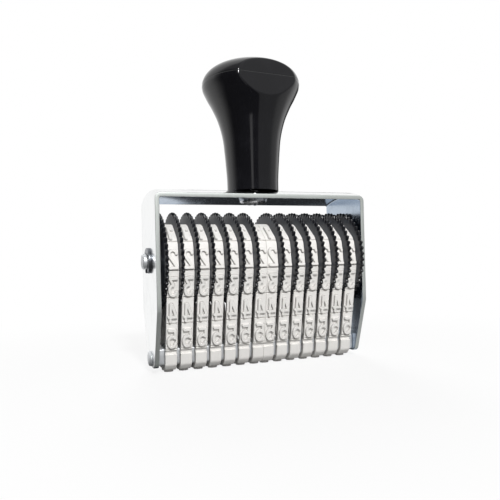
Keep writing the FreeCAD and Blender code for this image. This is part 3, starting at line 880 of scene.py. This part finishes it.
def screw_surfaces():
    """Domed screw head seen from below: rings whose height rises by the recess depth x a smooth cross mask, and a
    quarter ellipse round them; the shank behind it is a plain turned rod."""
    reach, low, seat = SCREW_HIGH.x, SCREW_LOW.z, WASHER_LOW.z
    shoulder, side, crown, depth = 1.30 * MM, 0.5 * MM, 0.38 * MM, 1.1 * MM
    flat, sides = reach - 1.25 * MM, 160
    slot_half, slot_end, hole, wall, shank_radius = 0.45 * MM, 2.1 * MM, 1.0 * MM, 0.10 * MM, 1.95 * MM
    angle = np.arange(sides) * TURN / sides
    radii = np.linspace(0, 1, 56) * flat
    x, y = radii[:, None] * np.sin(angle), -radii[:, None] * np.cos(angle)
    along_y = ease((slot_half - abs(x)) / wall + 0.5) * ease((slot_end - abs(y)) / wall + 0.5)
    along_x = ease((slot_half - abs(y)) / wall + 0.5) * ease((slot_end - abs(x)) / wall + 0.5)
    centre = ease((hole - np.hypot(x, y)) / wall + 0.5)
    recess = np.maximum(np.maximum(along_y, along_x), centre) * (1 - 0.25 * np.hypot(x, y) / flat)
    face = np.stack([x, y, low + (crown * (radii / flat) ** 2)[:, None] + depth * recess], axis=-1)
    bend = np.radians(np.linspace(8, 90, 14))
    rim_radii = np.concatenate([flat + (reach - flat) * np.sin(bend), [reach, 0]])
    rim_z = low + crown + (shoulder - crown) * (1 - np.cos(bend))
    rim = turned_z(rim_radii, np.concatenate([rim_z, [max(seat, rim_z[-1] + side / 10), seat]]), sides)
    shank = turned_z([0, shank_radius, shank_radius, 0], [seat, seat, SCREW_HIGH.z, SCREW_HIGH.z], 48)
    return [np.concatenate([face, rim]), shank]


def washer_surface():
    """Split spring washer: a rounded rectangular section carried once round, with a small gap at its cut end."""
    low, high, reach = WASHER_LOW.z, WASHER_HIGH.z, WASHER_HIGH.x
    inner, edge, gap = 2.05 * MM, 0.10 * MM, math.radians(3)
    angle = np.linspace(gap, TURN - gap, 97)[:, None] + math.radians(205)
    section = [(inner + edge, low), (reach - edge, low), (reach, low + edge), (reach, high - edge)]
    section += [(reach - edge, high), (inner + edge, high), (inner, high - edge), (inner, low + edge)]
    radius, height = np.array(section).T
    x, y = radius * np.sin(angle), -radius * np.cos(angle)
    return capped(np.stack([x, y, height + 0 * angle], axis=-1))


# Operators


class STAMP_OT_stage(bpy.types.Operator):
    """Makes the camera, the soft studio lights, the white surroundings and the pale floor"""

    bl_idname = "stamp.stage"
    bl_label = "Camera, light and floor"

    def execute(self, context):
        scene = context.scene
        scene.view_settings.view_transform = "Standard"
        camera = bpy.data.cameras.new("stamp_camera")
        camera.lens, camera.sensor_width = CAMERA_LENS, CAMERA_SENSOR
        camera.clip_start, camera.clip_end = 0.01, 10
        yaw, pitch, roll = (math.radians(part) for part in CAMERA_TURN)
        upright = Matrix.Rotation(-yaw, 4, "Z") @ Matrix.Rotation(pitch + math.pi / 2, 4, "X")
        holder = added("stamp_camera", camera)
        holder.matrix_world = Matrix.Translation(CAMERA_PLACE) @ upright @ Matrix.Rotation(roll, 4, "Z")
        scene.camera = holder
        for name, turned, rise, distance, size, power, glossy in LAMPS:
            turned, rise = math.radians(turned), math.radians(rise)
            heading = Vector((math.sin(turned) * math.cos(rise), -math.cos(turned) * math.cos(rise), math.sin(rise)))
            lamp = bpy.data.lights.new(name, "AREA")
            lamp.shape, lamp.size, lamp.energy = "DISK", size, power
            shade = added(name, lamp)
            shade.location = Vector(STAMP_MIDDLE) + distance * heading
            shade.rotation_euler = (-heading).to_track_quat("-Z", "Y").to_euler()
            shade.visible_glossy = glossy
        self.surround(scene)
        self.floor()
        return {"FINISHED"}

    def panels(self, turn):
        """Brightness of the studio's walls by turn in degrees from the front towards the right: white at the back
        left, dark at the front left, growing paler round the right side and dark again behind."""
        left_back = 1 - turn.between(-128, -86)
        right = 0.30 * turn.between(2, 8) + 0.25 * turn.between(55, 75) + 0.40 * turn.between(92, 108)
        return 0.035 + 0.965 * left_back + right * (1 - turn.between(118, 135))

    def surround(self, scene):
        """Plain white to the camera, a plain level to matt faces, and the panels to whatever mirrors them."""
        world = bpy.data.worlds.new("white_studio")
        paint = Paint(world)
        across, depth, height = paint.split(paint.node("ShaderNodeTexCoord", output="Generated"))
        turn = across.math("ARCTAN2", -depth) * DEGREES
        walls = self.panels(turn)
        strip = (1 - abs(turn + 21).between(3, 6)) * (1 - height.between(0.10, 0.20))
        back = depth.between(0.3, 0.7) * height.between(0.19, 0.27)
        corner = turn.between(165, 168) * height.between(-0.1, 0)
        upper = 0.20 * turn.between(2, 8) * height.between(0.15, 0.40) + 0.35 * height.between(0.45, 0.80)
        window = (1 - abs(turn + 24).between(16, 24)) * height.between(0.20, 0.30) * (1 - height.between(0.55, 0.70))
        mirrored_light = walls + 0.9 * strip + 0.9 * back + 0.9 * corner + upper + 0.8 * window
        seen, mirrored = paint.rays()
        held = mirrored_light.math("MINIMUM", 1.0)
        strength = seen + mirrored * held + (1 - seen - mirrored) * MATT_LIGHT
        background = paint.node("ShaderNodeBackground", inputs={"Color": (1, 1, 1, 1), "Strength": strength})
        paint.node("ShaderNodeOutputWorld", inputs={"Surface": background})
        scene.world = world

    def floor(self):
        """Pale floor that keeps a soft shadow, runs out into white and mirrors the same panels."""
        corners = np.array([(-1, -1, 0), (1, -1, 0), (1, 1, 0), (-1, 1, 0)]) * FLOOR_HALF
        mesh = bpy.data.meshes.new("floor")
        mesh.from_pydata(corners.tolist(), [], [(0, 1, 2, 3)])
        paint = Paint.of_material("pale_floor")
        across, depth, _ = paint.split(paint.place())
        turn = across.math("ARCTAN2", -depth) * DEGREES
        near = 1 - ((across**2 + depth**2) ** 0.5).between(0.03, 0.14)
        seen, mirrored = paint.rays()
        grey = paint.mix(seen, (0.30, 0.30, 0.30), (0.86, 0.86, 0.86))
        shaded = paint.node("ShaderNodeBsdfDiffuse", inputs={"Color": grey})
        share = seen * (1 - 0.16 * near) + mirrored
        glow = seen + mirrored * self.panels(turn)
        white = paint.node("ShaderNodeEmission", inputs={"Color": (1, 1, 1, 1), "Strength": glow})
        both = paint.node("ShaderNodeMixShader", inputs={0: share, 1: shaded, 2: white})
        paint.node("ShaderNodeOutputMaterial", inputs={"Surface": both})
        mesh.materials.append(paint.owner)
        added("floor", mesh)


class STAMP_OT_knob(bpy.types.Operator):
    """Makes the moulded black knob with its front flat"""

    bl_idname = "stamp.knob"
    bl_label = "Moulded knob"

    def execute(self, context):
        settings = context.scene.stamp_knob
        finish = knob_plastic(settings)
        piece_of("moulded_knob", [knob_surface(settings)], finish, "handle_knob", sharp=24)
        return {"FINISHED"}


class STAMP_OT_yoke(bpy.types.Operator):
    """Makes the yoke of bent, bright-plated sheet steel"""

    bl_idname = "stamp.yoke"
    bl_label = "Sheet-steel yoke"

    def execute(self, context):
        settings = context.scene.stamp_yoke
        finish = bright_plate(settings)
        piece_of("bent_yoke", [capped(yoke_surface(settings))], finish, "frame_yoke", sharp=50)
        return {"FINISHED"}


class STAMP_OT_metal_parts(bpy.types.Operator):
    """Makes the riveted print bar, the axle and its clips, the handle screw and its washer"""

    bl_idname = "stamp.metal_parts"
    bl_label = "Bar, axle, clips, screw and washer"

    def execute(self, context):
        bright = turned_steel("bar_bright_steel", (0.80, 0.82, 0.84), (300, 9000, 9000), 0.28, 0.6)
        turned = turned_steel("axle_turned_steel", (0.78, 0.80, 0.82), (9000, 400, 400), 0.30, 0.55)
        spring = turned_steel("clip_dark_spring_steel", (0.20, 0.21, 0.23), (2500, 2500, 2500), 0.22, 0.9)
        zinc = turned_steel("screw_zinc_plate", (0.55, 0.56, 0.58), (3500, 3500, 9000), 0.20, 1.0)
        grey = turned_steel("washer_spring_steel", (0.42, 0.43, 0.45), (3500, 3500, 3500), 0.26, 1.0)
        clip = clip_surface()
        piece_of("riveted_print_bar", print_bar_surfaces(), bright, "print_bar")
        piece_of("turned_axle", [axle_surface()], turned, "axle")
        piece_of("spring_clip_right", [clip], spring, "axle_clip_right")
        piece_of("spring_clip_left", [clip * MIRROR], spring, "axle_clip_left")
        piece_of("cross_head_screw", screw_surfaces(), zinc, "handle_screw", sharp=40)
        piece_of("split_washer", [washer_surface()], grey, "lock_washer")
        return {"FINISHED"}


class STAMP_OT_wheels(bpy.types.Operator):
    """Makes the fourteen toothed thumb wheels"""

    bl_idname = "stamp.wheels"
    bl_label = "Thumb wheels"

    def execute(self, context):
        settings = context.scene.stamp_wheels
        finish = wheel_plastic(settings)
        disc = disc_surface(settings)
        drum = drum_surface(settings, WHEEL_HIGH.x - WHEEL_LOW.x)
        for number in range(1, BANDS + 1):
            name, node = f"thumb_wheel_{number:02d}", f"number_wheel_{number:02d}"
            low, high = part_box(node)
            flip, start = ((1, 1, 1), low.x) if number <= BANDS // 2 else (MIRROR, high.x)
            surfaces = [part * flip + (start, 0, 0) for part in (disc, drum)]
            piece_of(name, surfaces, finish, node, f"{node}_body", sharp=50, ring=True)
        return {"FINISHED"}


class STAMP_OT_bands(bpy.types.Operator):
    """Makes the fourteen endless rubber bands with their raised digits in mirror writing"""

    bl_idname = "stamp.bands"
    bl_label = "Digit bands"

    def execute(self, context):
        bands = context.scene.stamp_bands
        finish = band_rubber(bands)
        surface, painted_shades = band_surface(context.scene.stamp_wheels, bands)
        height = surface[..., 2]
        slack = ease((height - SWAY_LOW) / SWAY_BEND) * ease((SWAY_HIGH - height) / SWAY_BEND) * (surface[..., 1] > 0)
        upper = ease((height - SWAY_MIDDLE) / SWAY_BEND)
        for number in range(1, BANDS + 1):
            name, node = f"digit_band_{number:02d}", f"number_band_{number:02d}"
            low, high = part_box(node)
            placed = surface + ((low.x + high.x) / 2, 0, 0)
            placed[..., 0] += (LOW_SWAY[number - 1] * (1 - upper) + HIGH_SWAY[number - 1] * upper) * slack * MM
            piece_of(name, [placed], finish, node, sharp=60, ring=True, painted_shades=painted_shades)
        return {"FINISHED"}


class STAMP_PT_panel(bpy.types.Panel):
    """Lists the steps that dress the stamp"""

    bl_idname = "STAMP_PT_panel"
    bl_label = "Numbering hand stamp"
    bl_space_type = "VIEW_3D"
    bl_region_type = "UI"
    bl_category = "Hand Stamp"

    def draw(self, context):
        for step in STEPS:
            self.layout.operator(f"stamp.{step}")
        for group in SETTINGS:
            for name in SETTINGS[group].__annotations__:
                self.layout.prop(getattr(context.scene, group), name)


STEPS = ("stage", "knob", "yoke", "metal_parts", "wheels", "bands")
SETTINGS = {
    "stamp_knob": KnobSettings,
    "stamp_yoke": YokeSettings,
    "stamp_bands": BandSettings,
    "stamp_wheels": WheelSettings,
}
CLASSES = (
    *SETTINGS.values(),
    STAMP_OT_stage,
    STAMP_OT_knob,
    STAMP_OT_yoke,
    STAMP_OT_metal_parts,
    STAMP_OT_wheels,
    STAMP_OT_bands,
    STAMP_PT_panel,
)


def register():
    """Adds the classes, and each group of settings to the scene."""
    for kind in CLASSES:
        bpy.utils.register_class(kind)
    for group, kind in SETTINGS.items():
        setattr(bpy.types.Scene, group, bpy.props.PointerProperty(type=kind))


def unregister():
    """Takes away what register added."""
    for group in SETTINGS:
        delattr(bpy.types.Scene, group)
    for kind in reversed(CLASSES):
        bpy.utils.unregister_class(kind)


def main():
    register()
    for step in STEPS:
        getattr(bpy.ops.stamp, step)()


if __name__ == "__main__":
    main()
